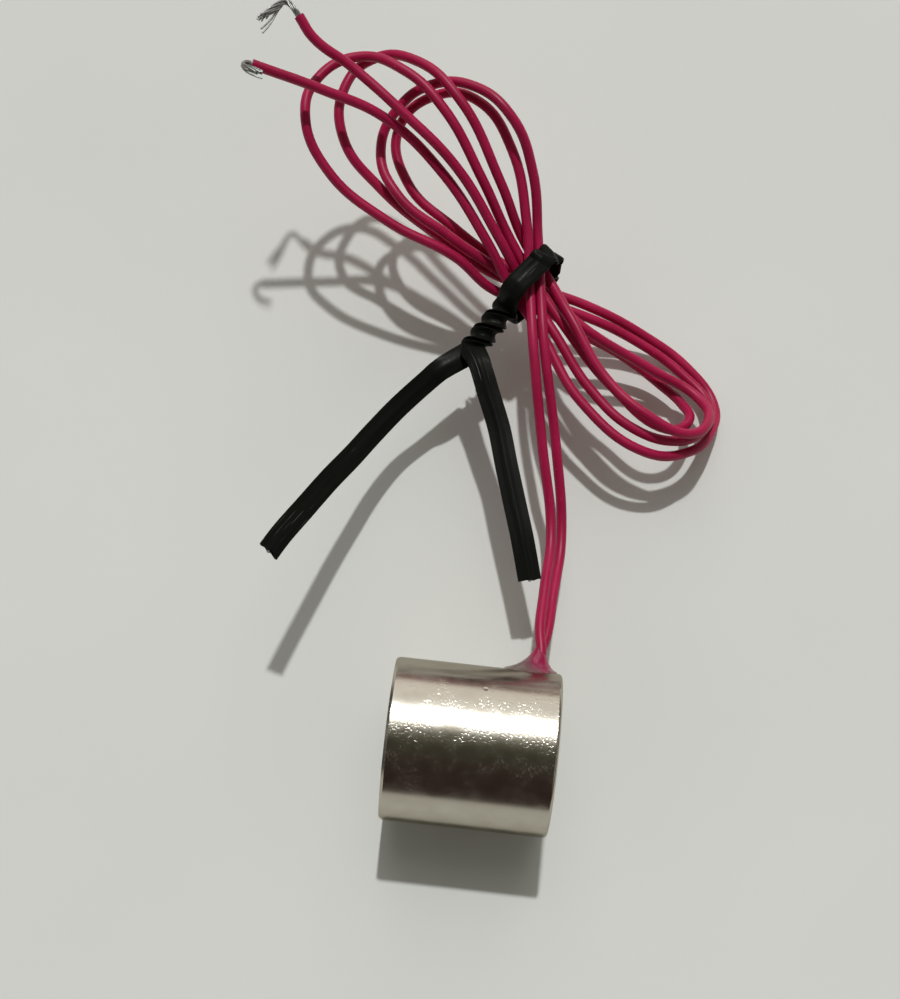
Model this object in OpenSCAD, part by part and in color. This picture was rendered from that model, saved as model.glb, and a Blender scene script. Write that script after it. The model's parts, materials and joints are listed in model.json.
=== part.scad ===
// Potted cup electromagnet lying on its side, with its two leads tied in a figure-of-eight hank.
// The magnet's axis runs along X: the pole face looks towards -X, the threaded back towards +X.
// The cup rests on the plane z = 0, and the leads leave it towards +Y.

/* [Cup] */
// Outside diameter of the steel cup
cup_d = 20; // [18:0.5:26]
// Length of the cup from pole face to back face
cup_l = 20.5; // [18:0.5:30]
// Thickness of the cup's round wall
cup_wall = 1.5; // [1.2:0.1:2]
// Thickness of the closed back
back_wall = 1.8; // [1.4:0.1:2.5]
// Radius of the rounded edge at the back
back_round = 0.4; // [0.2:0.1:1.2]
// Depth of the bevel of the rim at the pole face
rim_bevel = 0.2; // [0.1:0.05:0.5]
// Length of that bevel along the cup
rim_bevel_l = 0.35; // [0.1:0.05:0.6]

/* [Core] */
// Diameter of the centre pole
core_d = 8; // [7:0.25:9]
// Diameter of the spigot pressed into the back
spigot_d = 6; // [5:0.25:6.5]
// Tapping diameter of the mounting thread
tap_d = 2.5; // [2:0.1:3.3]
// Depth of the mounting thread
tap_depth = 8; // [5:0.5:12]
// Bevel at the mouth of the mounting thread
tap_mouth = 0.3; // [0.2:0.05:0.5]

/* [Coil] */
// Clearance between the bobbin and the core, and between the flanges and the cup
bobbin_gap = 0.1; // [0.05:0.05:0.2]
// Thickness of the bobbin's tube
bobbin_wall = 0.5; // [0.4:0.1:0.8]
// Thickness of each bobbin flange
flange_t = 0.6; // [0.4:0.1:0.9]
// How far the tape lies below the rim of the flanges
tape_margin = 0.7; // [0.3:0.1:1.2]
// Thickness of the tape over the winding
tape_t = 0.2; // [0.1:0.05:0.3]
// Diameter of the enamelled wire where it leaves the winding
tail_d = 0.3; // [0.2:0.05:0.4]

/* [Potting] */
// Thickness of the resin ring at the pole face
resin_t = 1.2; // [0.8:0.1:2]
// Depth of the resin below the pole face
resin_sink = 0.2; // [0.1:0.05:0.4]
// Radius of the resin bead where the leads come out
bead_r = 2.3; // [1.6:0.1:2.8]
// Height of that bead along the leads
bead_h = 2.4; // [1.5:0.1:3]
// Thickness of the bead at its outer edge
bead_foot = 0.15; // [0.1:0.05:0.4]
// How far the resin ran along the cup towards the pole face
bead_run = 1.9; // [0.8:0.1:2.4]
// Thickness of that run at its crown
run_crown = 0.5; // [0.3:0.05:0.6]
// Radius of the run's round surface
run_round = 4.5; // [3:0.25:5]

/* [Leads] */
// Diameter of a lead over its insulation
lead_d = 1.35; // [1.2:0.05:1.4]
// Distance between the two leads in the exit slot
lead_pitch = 1.5; // [1.45:0.05:1.8]
// Clearance round the leads in the exit slot
slot_gap = 0.15; // [0.1:0.05:0.25]
// Room for the splices between the bobbin and the back
splice_room = 1.9; // [1.8:0.1:2.4]
// Diameter of a lead's stranded conductor
conductor_d = 0.7; // [0.5:0.05:0.8]
// Bend radius of a conductor inside the cup
conductor_bend = 1.2; // [1:0.1:1.5]
// Diameter of a solder joint
joint_d = 0.9; // [0.85:0.05:1]
// Wall of the sleeve over a solder joint
sleeve_wall = 0.25; // [0.15:0.05:0.3]
// Clearance of a sleeve over its joint
sleeve_gap = 0.05; // [0.02:0.01:0.08]

/* [Twist tie] */
// Width of the flat plastic strip
tie_w = 3; // [2.5:0.1:4]
// Thickness of the strip over its wire
tie_t = 0.64; // [0.6:0.02:0.7]
// Thickness of the strip at its edges
tie_edge = 0.24; // [0.2:0.02:0.3]
// Diameter of the wire in the strip
tie_wire_d = 0.4; // [0.3:0.02:0.44]
// Twist of the stem
tie_twist = 540; // [180:180:720]

/* [Hidden] */
$fn = 64;
// How far a cut runs past the face that it opens, and how far joined shapes reach into each other
overcut = 1;
overlap = 0.01;

// Radii, measured from the magnet's axis
cup_r = cup_d / 2;
cup_in_r = cup_r - cup_wall;
core_r = core_d / 2;
spigot_r = spigot_d / 2;
tap_r = tap_d / 2;
bobbin_in_r = core_r + bobbin_gap;
bobbin_out_r = bobbin_in_r + bobbin_wall;
flange_r = cup_in_r - bobbin_gap;
tape_r = flange_r - tape_margin;
winding_r = tape_r - tape_t;

// Stations along the axis, measured from the pole face
floor_u = cup_l - back_wall;
bobbin_back_u = floor_u - splice_room;
bobbin_front_u = resin_sink + resin_t;
winding_front_u = bobbin_front_u + flange_t;
winding_back_u = bobbin_back_u - flange_t;
splice_u = floor_u - splice_room / 2;

// The leads, their exit and their splices
lead_r = lead_d / 2;
conductor_r = conductor_d / 2;
tail_r = tail_d / 2;
joint_r = joint_d / 2;
sleeve_in_r = joint_r + sleeve_gap;
sleeve_out_r = sleeve_in_r + sleeve_wall;
slot_r = lead_r + slot_gap;
bead_top_r = slot_r + slot_gap;
exit_x = splice_u - cup_l / 2;
lead_reach = 1;
lead_end_y = cup_in_r - lead_reach;
inner_straight = 0.3;
elbow_at = [lead_end_y - inner_straight, lead_pitch / 2 + conductor_bend];
elbow_angle = atan2(elbow_at.y, elbow_at.x);
splice_r = norm(elbow_at) - conductor_bend;
head_straight = 2.5;

// Angles round the core that a conductor, its joint, its sleeve and the coil's tail take up
conductor_span = 22;
joint_span = 18;
sleeve_over_conductor = 6;
sleeve_over_tail = 10;
tail_span = 26;
joint_from = elbow_angle + conductor_span;
joint_to = joint_from + joint_span;
sleeve_from = joint_from - sleeve_over_conductor;
sleeve_to = joint_to + sleeve_over_tail;
tail_to = joint_to + tail_span;
elbow_steps = 5;
arc_steps = 4;

// Where the leads run after they have left the resin bead, in the order of their length:
// down to the tie, an upper loop, a lower loop, an upper loop, a lower loop and the free end.
lead_a_run = [
    [7.1, 15.5, 10.25], [7.25, 21, 8.5], [7.5, 30, 6], [5, 41, 10], [2.5, 53, 14], [1.25, 61.5, 14.25],
    [0, 69, 16.5], [-3, 77.5, 20.5], [-8, 83, 22.5], [-14, 84.5, 20.5], [-18.5, 80.5, 18],
    [-16.5, 73.5, 16], [-9.5, 68.5, 14], [-3.5, 65.5, 12], [2, 63, 11], [9, 57.75, 10.25],
    [19, 54.5, 6], [26, 51.25, 5], [27, 47.25, 7.5], [24, 44, 10.25], [19, 45, 12],
    [12.5, 49.75, 12.5], [7.25, 57.25, 13.5], [3.5, 63.5, 12.5], [0, 67.5, 14], [-4, 73, 19.5],
    [-10.5, 81.5, 25], [-17, 87, 24.5], [-22.5, 88, 22.5], [-26, 83.5, 22], [-25.5, 77, 20],
    [-20, 72, 16.5], [-11.5, 67, 14], [-3.5, 64, 10.5], [1.5, 63.5, 9], [9.5, 62.5, 7],
    [18, 60.5, 3.5], [24.75, 57, 1.5], [28.5, 52.5, 1], [28, 47.25, 3.5], [25, 43, 6.5],
    [19, 41.25, 9], [9.75, 46.75, 10.5], [3.5, 55.5, 11.5], [-1, 61, 12.5], [-5, 66, 16],
    [-12, 73.5, 20], [-20, 78.5, 23.5], [-28, 79.5, 27], [-37, 80, 30.5]
];
lead_b_run = [
    [8.1, 15.5, 8.6], [8.5, 21, 6.5], [9, 30, 4.5], [7, 41, 8.5], [4, 53, 13.5], [2.75, 61, 14],
    [1.75, 67.5, 15], [0, 75, 20], [-3.5, 80, 24.5], [-9, 84, 24.5], [-14.5, 84.5, 23],
    [-18.5, 82, 21], [-20.5, 77, 18.5], [-17.5, 70.5, 18], [-10.5, 66.5, 16], [-4, 64, 13],
    [0.5, 62, 11], [7, 58.5, 8.75], [15, 56.5, 5], [21, 53.5, 3], [23.75, 51, 3.5], [24.75, 48, 5.5],
    [21.5, 45.25, 8], [13.25, 50, 10], [6.5, 57, 11.5], [2, 62.5, 12.5], [-2, 67.5, 14.5],
    [-6.5, 73, 20], [-12.5, 80.25, 24.5], [-18.25, 85, 25], [-24.5, 87, 24], [-29.5, 83.5, 23.5],
    [-30.5, 78, 23], [-27, 72, 20], [-18.5, 67, 17], [-9, 64, 14.5], [-3.5, 61.5, 11], [1, 61.5, 9],
    [8, 61, 7.5], [17.5, 59, 4], [24, 55.5, 2.5], [27.5, 51.5, 3], [26.5, 46.25, 6.25],
    [22.75, 43.5, 8.5], [17, 44, 10], [10.75, 48.75, 10.5], [5.5, 55.5, 11.5], [0.5, 62, 12.5],
    [-3.5, 66.5, 16.5], [-10, 73.5, 21.5], [-18, 79, 25], [-25, 83.5, 27], [-30, 85.5, 29.5],
    [-32, 87.5, 31]
];
lead_a_route = concat(lead_head(1), lead_a_run);
lead_b_route = concat(lead_head(-1), lead_b_run);
bare_straight = 0.9;
bare_a_bend = [[-37.75, 79.5, 31.5], [-37.25, 78.5, 32.25], [-36.25, 78, 32.75], [-35.25, 77.5, 33]];
bare_b_bend = [[-34, 89, 31.5], [-34.5, 88.25, 32], [-35, 85.75, 33.25], [-35.5, 83.5, 34.5]];
cord_sides = 8;

// The twist tie: one turn round the bundle, a twisted stem and two tails
tie_centre = [1.3, 62.5, 11.8];
tie_across = unit([0.59, 0.81, 0]);
tie_along = unit([0.81, -0.59, 0]);
wrap_half_w = 4.4;
wrap_half_h = 4.45;
wrap_corner = 2;
wrap_step = 15;
wrap_open = 30;
stem_set_off = 1.5;
stem_start = tie_centre - tie_across * (wrap_half_w + stem_set_off);
stem_end = [-5.5, 52.5, 10.75];
strip_gap = 0.4;
stem_half_gap = (tie_t + strip_gap) / 2;
stem_rings = 24;
// Which way the strip's width points after the stem's half turns
tail_side = -sign(cos(tie_twist));
left_tail = [
    [-9.25, 49.75, 10.75], [-11.5, 47.75, 10.25], [-15, 44, 9.75], [-18, 39.75, 10.5],
    [-20.25, 35.25, 12.25], [-22.25, 31, 14.5], [-24.25, 26.25, 17], [-26, 22, 19.25],
    [-27, 19, 20.5]
];
right_tail = [
    [-4.25, 50, 12.5], [-2.5, 45.75, 12], [-0.75, 41.5, 11.5], [0.75, 36.5, 11.25],
    [2.25, 31.75, 11], [3.75, 27, 10.75], [5.25, 21.75, 10]
];
tie_rib = 0.35;

// The first two points of a lead: inside the cup, and straight out through its slot
function lead_head(side) = [
    for (y = [lead_end_y, cup_r + head_straight]) [exit_x, y, cup_r + side * lead_pitch / 2]
];

function unit(v) = v / norm(v);
function last(list) = list[len(list) - 1];
function flipped(list) = [for (i = [len(list) - 1 : -1 : 0]) list[i]];

// The direction of a line at each of its points, halfway between its two stretches there
function headings(p) = [
    for (i = [0 : len(p) - 1])
        i == 0 ? unit(p[1] - p[0])
        : i == len(p) - 1 ? unit(p[i] - p[i - 1])
        : unit(unit(p[i + 1] - p[i]) + unit(p[i] - p[i - 1]))
];

// A side direction carried along those headings without twisting
function carried(t, i = 0, done = []) =
    i == len(t) ? done
    : let (before = i == 0 ? [0, 0, 1] : done[i - 1])
      carried(t, i + 1, concat(done, [unit(before - (before * t[i]) * t[i])]));

// Frames along a line: each is a place and the two directions of the section there
function line_frames(p) =
    let (t = headings(p), side = carried(t))
    [for (i = [0 : len(p) - 1]) [p[i], side[i], cross(t[i], side[i])]];

// Frames of a flat strip along a line, its width level and its marked face up (1) or down (-1)
function strip_frames(p, face) =
    let (t = headings(p))
    [for (i = [0 : len(p) - 1])
        let (level = unit(cross(t[i], [0, 0, 1])) * tail_side)
        [p[i], level, cross(level, t[i]) * face]];

function ring(r, sides) = [for (k = [0 : sides - 1]) r * [cos(360 * k / sides), sin(360 * k / sides)]];
function skin(frames, section) = [for (f = frames, s = section) f[0] + f[1] * s.x + f[2] * s.y];
function quad(a, b, c, d) = [[a, c, b], [a, d, c]];

// Faces of a closed wall of so many rings of so many points
function wall_faces(rings, n, first = 0) = [
    for (i = [0 : rings - 2], k = [0 : n - 1], f = quad(
        first + i * n + k, first + i * n + (k + 1) % n,
        first + (i + 1) * n + (k + 1) % n, first + (i + 1) * n + k)) f
];
function turned(faces) = [for (f = faces) flipped(f)];

// A solid of one section swept along frames
module sweep(frames, section) {
    n = len(section);
    rings = len(frames);
    polyhedron(
        points = skin(frames, section),
        faces = concat(
            [[for (k = [0 : n - 1]) k]],
            wall_faces(rings, n),
            [[for (k = [n - 1 : -1 : 0]) (rings - 1) * n + k]]
        )
    );
}

// A hollow sweep: the outer section and its bore have the same number of points
module hollow_sweep(frames, section, bore) {
    n = len(section);
    rings = len(frames);
    inner = rings * n;
    end = (rings - 1) * n;
    polyhedron(
        points = concat(skin(frames, section), skin(frames, bore)),
        faces = concat(
            wall_faces(rings, n),
            turned(wall_faces(rings, n, inner)),
            [for (k = [0 : n - 1], f = quad(
                (k + 1) % n, k, inner + k, inner + (k + 1) % n)) f],
            [for (k = [0 : n - 1], f = quad(
                end + k, end + (k + 1) % n, inner + end + (k + 1) % n, inner + end + k)) f]
        )
    );
}

// Puts a shape built along +Z from the pole face onto the magnet's axis
module on_axis() {
    translate([-cup_l / 2, 0, cup_r]) rotate([0, 90, 0]) children();
}

// A solid of revolution between two stations
module drum(r, from, to) {
    translate([0, 0, from]) cylinder(r = r, h = to - from);
}

module pipe(r_out, r_in, from, to) {
    difference() {
        drum(r_out, from, to);
        drum(r_in, from - overcut, to + overcut);
    }
}

// A round bar bent round the axis at the splice station; angles run from +Y up towards +Z
module splice_arc(r, from, to) {
    translate([0, 0, splice_u]) rotate([0, 0, 90 + from])
        rotate_extrude(angle = to - from) translate([splice_r, 0]) circle(r = r);
}

// Lead b and its splice mirror lead a about the level plane through the axis
module side_of(side) {
    if (side > 0) children();
    else mirror([1, 0, 0]) children();
}

// The obround section of the exit slot, with ends of a given radius round the two leads
module slot_shape(r) {
    for (s = [-1, 1]) translate([s * lead_pitch / 2, 0]) circle(r = r);
    square([lead_pitch, 2 * r], center = true);
}

module through_slot(from, to) {
    translate([0, from, splice_u]) rotate([-90, 0, 0]) linear_extrude(to - from) children();
}

// The cup as if it were solid: bevelled at the pole face, rounded at the back
module cup_outside() {
    rotate_extrude() difference() {
        square([cup_r, cup_l]);
        translate([cup_r - back_round, cup_l - back_round]) difference() {
            square(2 * back_round);
            circle(r = back_round);
        }
        polygon([
            [cup_r - rim_bevel, 0], [cup_r - rim_bevel, -overcut], [cup_r + overcut, -overcut],
            [cup_r + overcut, rim_bevel_l], [cup_r, rim_bevel_l]
        ]);
    }
}

module cup_shell() {
    color("#bdb9ae") on_axis() difference() {
        cup_outside();
        drum(cup_in_r, -overcut, floor_u);
        drum(spigot_r, floor_u - overcut, cup_l + overcut);
        through_slot(0, cup_r + overcut) slot_shape(slot_r);
    }
}

module pole_core() {
    color("#a8a59c") on_axis() difference() {
        union() {
            drum(core_r, 0, floor_u);
            drum(spigot_r, floor_u - overlap, cup_l);
        }
        drum(tap_r, cup_l - tap_depth, cup_l + overcut);
        translate([0, 0, cup_l - tap_depth - tap_r / 2])
            cylinder(r1 = 0, r2 = tap_r, h = tap_r / 2);
        translate([0, 0, cup_l - tap_mouth])
            cylinder(r1 = tap_r, r2 = tap_r + 2 * tap_mouth, h = 2 * tap_mouth);
    }
}

// Two holes in the back flange let the coil's tails through
module coil_bobbin() {
    color("#e6e2d4") on_axis() difference() {
        union() {
            drum(bobbin_out_r, bobbin_front_u, bobbin_back_u);
            drum(flange_r, bobbin_front_u, winding_front_u);
            drum(flange_r, winding_back_u, bobbin_back_u);
        }
        drum(bobbin_in_r, bobbin_front_u - overcut, bobbin_back_u + overcut);
        for (side = [1, -1]) side_of(side) rotate([0, 0, 90 + tail_to]) translate([splice_r, 0, 0])
            drum(tail_r + bobbin_gap, winding_back_u - overcut, bobbin_back_u + overcut);
    }
}

module coil_winding() {
    color("#b5622e") on_axis() pipe(winding_r, bobbin_out_r, winding_front_u, winding_back_u);
}

module coil_tape() {
    color("#d8b23c") on_axis() pipe(tape_r, winding_r, winding_front_u, winding_back_u);
}

// Points round the core at the splice station; side is 1 for lead a and -1 for lead b
function splice_point(y, z, side) = [exit_x, y, cup_r + side * z];
function splice_arc_points(from, to, side) = [
    for (i = [0 : arc_steps])
        let (a = from + (to - from) * i / arc_steps) splice_point(splice_r * cos(a), splice_r * sin(a), side)
];

// A tail leaves its joint along the arc, then drops through the flange to the winding
module coil_tail(side) {
    arc = splice_arc_points(joint_to, tail_to, side);
    drop = [winding_back_u - splice_u, 0, 0];
    color("#b5622e") sweep(line_frames(concat(arc, [last(arc) + drop])), ring(tail_r, cord_sides));
}

module coil_start_tail() {
    coil_tail(1);
}

module coil_finish_tail() {
    coil_tail(-1);
}

// The stripped conductor turns from the lead's direction into the arc round the core
function inner_route(side) = concat(
    [splice_point(lead_end_y, lead_pitch / 2, side)],
    [for (i = [0 : elbow_steps - 1])
        let (a = -90 - (90 - elbow_angle) * i / elbow_steps)
        splice_point(elbow_at.x + conductor_bend * cos(a), elbow_at.y + conductor_bend * sin(a), side)],
    splice_arc_points(elbow_angle, joint_from, side)
);

module lead_inner_end(side) {
    color("#c9ccd0") sweep(line_frames(inner_route(side)), ring(conductor_r, cord_sides));
}

module lead_a_inner_end() {
    lead_inner_end(1);
}

module lead_b_inner_end() {
    lead_inner_end(-1);
}

module solder_joint(side) {
    color("#c4c6c8") on_axis() side_of(side) splice_arc(joint_r, joint_from, joint_to);
}

module solder_joint_a() {
    solder_joint(1);
}

module solder_joint_b() {
    solder_joint(-1);
}

module splice_sleeve(side) {
    color("#26262a") on_axis() side_of(side) difference() {
        splice_arc(sleeve_out_r, sleeve_from, sleeve_to);
        splice_arc(sleeve_in_r, sleeve_from - overcut, sleeve_to + overcut);
    }
}

module splice_sleeve_a() {
    splice_sleeve(1);
}

module splice_sleeve_b() {
    splice_sleeve(-1);
}

module face_resin() {
    color("#c9b98c") on_axis() pipe(cup_in_r, core_r, resin_sink, bobbin_front_u);
}

// Half the outline of the bead: a foot spread on the cup and a hollow flank that climbs the lead
module bead_half() {
    flank_w = bead_r - bead_top_r;
    flank_h = bead_h - bead_foot;
    flank_r = (flank_w * flank_w + flank_h * flank_h) / (2 * flank_w);
    difference() {
        translate([0, -cup_wall]) square([bead_r, cup_wall + bead_h]);
        translate([bead_top_r + flank_r, bead_h]) circle(r = flank_r);
    }
}

// The bead that seals the slot and holds the leads, with a thin run of resin beside it
module exit_resin() {
    color("#d9a9a2") on_axis() difference() {
        union() {
            difference() {
                union() {
                    for (s = [-1, 1])
                        translate([s * lead_pitch / 2, cup_r, splice_u]) rotate([-90, 0, 0])
                            rotate_extrude() bead_half();
                    translate([0, cup_r + run_crown - run_round, splice_u - bead_run]) sphere(r = run_round);
                }
                cup_outside();
            }
            through_slot(cup_in_r, cup_r + bead_h / 2) slot_shape(slot_r);
        }
        for (s = [-1, 1])
            translate([s * lead_pitch / 2, cup_in_r - overcut, splice_u]) rotate([-90, 0, 0])
                cylinder(r = lead_r, h = cup_wall + bead_h + 2 * overcut);
    }
}

module lead(route) {
    color("#b3123f") sweep(line_frames(route), ring(lead_r, cord_sides));
}

module lead_a() {
    lead(lead_a_route);
}

module lead_b() {
    lead(lead_b_route);
}

// A stripped end leaves its insulation straight and then bends
module bare_end(route, bend) {
    tip = last(route);
    ahead = last(headings(route));
    color("#c9ccd0") sweep(
        line_frames(concat([tip, tip + ahead * bare_straight], bend)), ring(conductor_r, cord_sides));
}

module lead_a_bare_end() {
    bare_end(lead_a_route, bare_a_bend);
}

module lead_b_bare_end() {
    bare_end(lead_b_route, bare_b_bend);
}

// The turn round the bundle: a rectangle with round corners that runs out to a point at the stem
wrap_corners = [
    [-1, -1, 180 + wrap_open, 270], [1, -1, 270, 360], [1, 1, 0, 90], [-1, 1, 90, 180 - wrap_open]
];
wrap_points = [
    for (q = wrap_corners, a = [q[2] : wrap_step : q[3]])
        tie_centre
        + tie_across * (q[0] * (wrap_half_w - wrap_corner) + wrap_corner * cos(a))
        + [0, 0, q[1] * (wrap_half_h - wrap_corner) + wrap_corner * sin(a)]
];
function wrap_frames() =
    let (t = headings(wrap_points))
    [for (i = [0 : len(wrap_points) - 1]) [wrap_points[i], tie_along, cross(t[i], tie_along)]];

// The stem: two strips back to back, twisted round a common axis; layer is 1 or -1
function stem_frames(layer) =
    let (ahead = unit(stem_end - stem_start),
         level = -unit(cross(ahead, [0, 0, 1])),
         rise = cross(ahead, level))
    [for (i = [0 : stem_rings])
        let (a = tie_twist * i / stem_rings, out = rise * cos(a) - level * sin(a))
        [stem_start + (stem_end - stem_start) * i / stem_rings + out * stem_half_gap * layer,
         level * cos(a) + rise * sin(a), out * layer]];

// A tail's frames, from just past the stem to its tip
function tail_frames(stem, points, face) =
    let (f = strip_frames(concat([last(stem)[0]], points), face))
    [for (i = [1 : len(f) - 1]) f[i]];

// The strip from the tip of the right tail, round the bundle, to the tip of the left one
function tie_frames() =
    let (one = stem_frames(1), two = stem_frames(-1))
    concat(
        flipped(tail_frames(two, right_tail, 1)), flipped(two),
        wrap_frames(),
        one, tail_frames(one, left_tail, -1)
    );

function strip_section() =
    let (w = tie_w / 2, e = tie_edge / 2, h = tie_t / 2)
    [[w, e], [tie_rib, h], [-tie_rib, h], [-w, e], [-w, -e], [-tie_rib, -h], [tie_rib, -h], [w, -e]];
function wire_section() = [for (k = [0 : 7]) let (a = 22.5 + 45 * k) tie_wire_d / 2 * [cos(a), sin(a)]];

module tie_strip() {
    color("#191a19") hollow_sweep(tie_frames(), strip_section(), wire_section());
}

module tie_wire() {
    color("#9a9c9c") sweep(tie_frames(), wire_section());
}

cup_shell();
pole_core();
coil_bobbin();
coil_winding();
coil_tape();
coil_start_tail();
coil_finish_tail();
lead_a_inner_end();
lead_b_inner_end();
solder_joint_a();
solder_joint_b();
splice_sleeve_a();
splice_sleeve_b();
face_resin();
exit_resin();
lead_a();
lead_b();
lead_a_bare_end();
lead_b_bare_end();
tie_strip();
tie_wire();
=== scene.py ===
# %% [markdown]
# # A cup electromagnet with its leads tied in a hank
# The object is a small holding magnet: a nickel-plated steel cup that lies on its side, two red
# leads that leave it through a bead of resin, and a black twist tie round the leads.
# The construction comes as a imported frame, in metres. This lesson dresses it: it keeps the solids
# that are right as they are, and makes afresh the ones that bend, twist or were cast.

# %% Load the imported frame
import json
import math

import bmesh
import bpy
from mathutils import Matrix, Vector

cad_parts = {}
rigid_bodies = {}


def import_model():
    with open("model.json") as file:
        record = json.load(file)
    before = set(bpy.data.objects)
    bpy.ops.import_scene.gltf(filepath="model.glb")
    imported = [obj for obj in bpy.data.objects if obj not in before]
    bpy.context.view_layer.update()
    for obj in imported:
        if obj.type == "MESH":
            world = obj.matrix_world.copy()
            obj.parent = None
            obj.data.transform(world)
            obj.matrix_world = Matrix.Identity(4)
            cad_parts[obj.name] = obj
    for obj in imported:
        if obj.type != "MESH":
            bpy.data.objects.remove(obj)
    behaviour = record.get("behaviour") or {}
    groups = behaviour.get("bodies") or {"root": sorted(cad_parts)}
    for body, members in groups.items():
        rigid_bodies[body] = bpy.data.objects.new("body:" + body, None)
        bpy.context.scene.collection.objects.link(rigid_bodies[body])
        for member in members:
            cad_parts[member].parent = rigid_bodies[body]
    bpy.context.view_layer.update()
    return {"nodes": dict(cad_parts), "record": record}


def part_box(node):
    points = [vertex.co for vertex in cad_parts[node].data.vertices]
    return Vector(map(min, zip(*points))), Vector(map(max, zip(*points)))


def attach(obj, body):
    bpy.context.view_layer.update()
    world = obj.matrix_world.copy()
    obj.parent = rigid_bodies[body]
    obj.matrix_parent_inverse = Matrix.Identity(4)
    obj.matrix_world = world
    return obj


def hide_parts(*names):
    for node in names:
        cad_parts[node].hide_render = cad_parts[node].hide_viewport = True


for left_over in list(bpy.data.objects):
    bpy.data.objects.remove(left_over)
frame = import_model()
nodes = frame["nodes"]
MM = 0.001
cup_low, cup_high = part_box("cup_shell")
cup_r = (cup_high.z - cup_low.z) / 2
axis_z = (cup_high.z + cup_low.z) / 2
print("frame:", len(nodes), "nodes, cup", round(2 * cup_r / MM, 2), "mm across")

# %% [markdown]
# ## Camera
# The photograph looks steeply down from about 20 cm. A camera can be placed by eye or worked out
# from things of known shape in the picture. Here the outline of the cup and pairs of a point and its
# shadow fixed the place, the heading and the small roll, so the numbers are kept as fitted.

# %% Camera
camera_place = Vector((-1.14, -29.71, 199.13)) * MM
camera_heading = Vector((-0.0249, 0.3080, -0.9511))
camera_roll = math.radians(1.76)
camera_lens = 55.2

camera = bpy.data.objects.new("camera", bpy.data.cameras.new("camera"))
camera.data.lens = camera_lens
camera.data.clip_start = 1 * MM
aim = camera_heading.to_track_quat("-Z", "Y").to_matrix() @ Matrix.Rotation(camera_roll, 3, "Z")
camera.matrix_world = Matrix.Translation(camera_place) @ aim.to_4x4()
bpy.context.scene.collection.objects.link(camera)
bpy.context.scene.camera = camera
print("camera:", camera_lens, "mm lens,", round(camera_place.length / MM), "mm from the cup")

# %% [markdown]
# ## The two leads
# Each lead is about 41 cm of thin PVC hook-up wire. It leaves the cup, passes the tie, makes two
# upper and two lower loops through the tie and ends stripped. A lead could be a chain of cylinders
# or a simulated rope; one Bezier curve with round bevel keeps it a single smooth tube whose length
# can be measured. The points were chosen along the loops in the photograph.

# %% Points of the leads
lead_d = 1.35
lead_heads = {
    "a": [(7.5, 7.5, 10.75), (7.5, 12.5, 10.75)],
    "b": [(7.5, 7.5, 9.25), (7.5, 12.5, 9.25)],
}
exit_x = lead_heads["a"][0][0]
lead_pitch = lead_heads["a"][0][2] - lead_heads["b"][0][2]
lead_runs = {
    "a": [
        (7.1, 15.5, 10.25), (7.25, 21, 8.5), (7.5, 30, 6), (5, 41, 10), (2.5, 53, 14),
        (1.25, 61.5, 14.25), (0, 69, 16.5), (-3, 77.5, 20.5), (-8, 83, 22.5), (-14, 84.5, 20.5),
        (-18.5, 80.5, 18), (-16.5, 73.5, 16), (-9.5, 68.5, 14), (-3.5, 65.5, 12), (2, 63, 11),
        (9, 57.75, 10.25), (19, 54.5, 6), (26, 51.25, 5), (27, 47.25, 7.5), (24, 44, 10.25),
        (19, 45, 12), (12.5, 49.75, 12.5), (7.25, 57.25, 13.5), (3.5, 63.5, 12.5), (0, 67.5, 14),
        (-4, 73, 19.5), (-10.5, 81.5, 25), (-17, 87, 24.5), (-22.5, 88, 22.5), (-26, 83.5, 22),
        (-25.5, 77, 20), (-20, 72, 16.5), (-11.5, 67, 14), (-3.5, 64, 10.5), (1.5, 63.5, 9),
        (9.5, 62.5, 7), (18, 60.5, 3.5), (24.75, 57, 1.5), (28.5, 52.5, 1), (28, 47.25, 3.5),
        (25, 43, 6.5), (19, 41.25, 9), (9.75, 46.75, 10.5), (3.5, 55.5, 11.5), (-1, 61, 12.5),
        (-5, 66, 16), (-12, 73.5, 20), (-20, 78.5, 23.5), (-28, 79.5, 27), (-37, 80, 30.5),
    ],
    "b": [
        (8.1, 15.5, 8.6), (8.5, 21, 6.5), (9, 30, 4.5), (7, 41, 8.5), (4, 53, 13.5),
        (2.75, 61, 14), (1.75, 67.5, 15), (0, 75, 20), (-3.5, 80, 24.5), (-9, 84, 24.5),
        (-14.5, 84.5, 23), (-18.5, 82, 21), (-20.5, 77, 18.5), (-17.5, 70.5, 18),
        (-10.5, 66.5, 16), (-4, 64, 13), (0.5, 62, 11), (7, 58.5, 8.75), (15, 56.5, 5),
        (21, 53.5, 3), (23.75, 51, 3.5), (24.75, 48, 5.5), (21.5, 45.25, 8), (13.25, 50, 10),
        (6.5, 57, 11.5), (2, 62.5, 12.5), (-2, 67.5, 14.5), (-6.5, 73, 20), (-12.5, 80.25, 24.5),
        (-18.25, 85, 25), (-24.5, 87, 24), (-29.5, 83.5, 23.5), (-30.5, 78, 23), (-27, 72, 20),
        (-18.5, 67, 17), (-9, 64, 14.5), (-3.5, 61.5, 11), (1, 61.5, 9), (8, 61, 7.5),
        (17.5, 59, 4), (24, 55.5, 2.5), (27.5, 51.5, 3), (26.5, 46.25, 6.25), (22.75, 43.5, 8.5),
        (17, 44, 10), (10.75, 48.75, 10.5), (5.5, 55.5, 11.5), (0.5, 62, 12.5), (-3.5, 66.5, 16.5),
        (-10, 73.5, 21.5), (-18, 79, 25), (-25, 83.5, 27), (-30, 85.5, 29.5), (-32, 87.5, 31),
    ],
}
print("points of the leads:", {letter: len(run) for letter, run in lead_runs.items()})


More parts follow.
